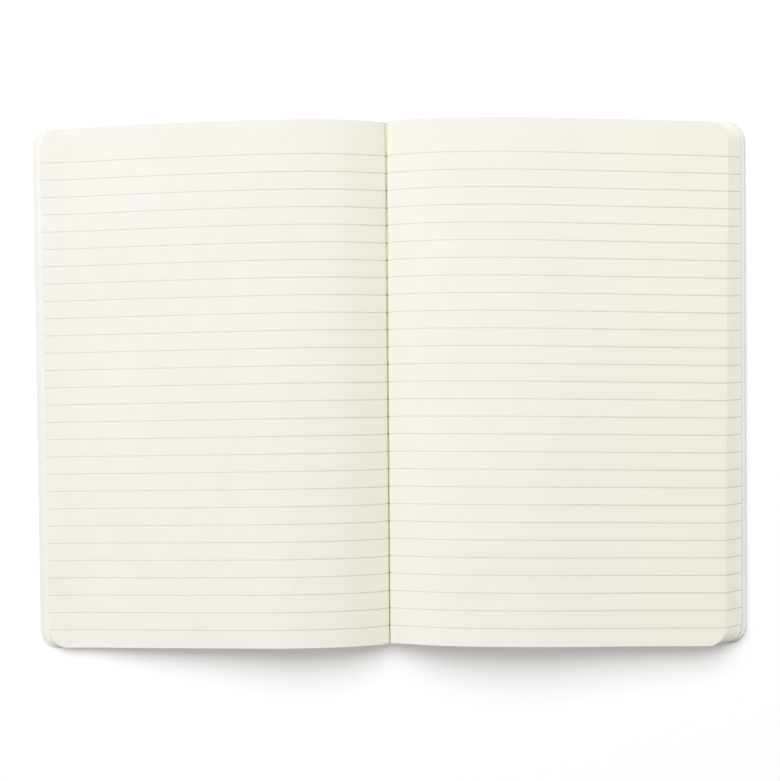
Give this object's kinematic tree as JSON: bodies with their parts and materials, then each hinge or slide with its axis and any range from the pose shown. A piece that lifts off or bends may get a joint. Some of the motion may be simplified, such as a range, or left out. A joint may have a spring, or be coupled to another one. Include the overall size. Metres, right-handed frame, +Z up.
{
  "type": "open notebook",
  "caption": "Soft-covered ruled notebook lying open in the middle, its halves arched beside a sewn gutter, with card covers that fold back.",
  "frame": {"origin": "middle of the spine's flat underside, on the table, under the gutter", "axes": "+Z up from the table, +Y along the gutter towards the head of the pages, +X across the right-hand page"},
  "size_m": [0.2862, 0.21, 0.0146],
  "materials": {
    "paper": "uncoated cream writing paper with pale grey ruling",
    "cover_card": "matt off-white card",
    "thread": "unbleached cotton thread"
  },
  "bodies": {
    "page_block": {"pages": "paper", "cover_spine": "cover_card", "sewing_thread": "thread"},
    "front_cover": {"front_cover": "cover_card"},
    "back_cover": {"back_cover": "cover_card"}
  },
  "joints": [
    {"name": "front_cover_fold", "type": "hinge", "parent": "page_block", "child": "front_cover", "pos_m": [-0.00322, 0, 0.00176], "axis": [0, -1, 0], "range_deg": [0, 90]},
    {"name": "back_cover_fold", "type": "hinge", "parent": "page_block", "child": "back_cover", "pos_m": [0.00322, 0, 0.00176], "axis": [0, 1, 0], "range_deg": [0, 90]}
  ]
}
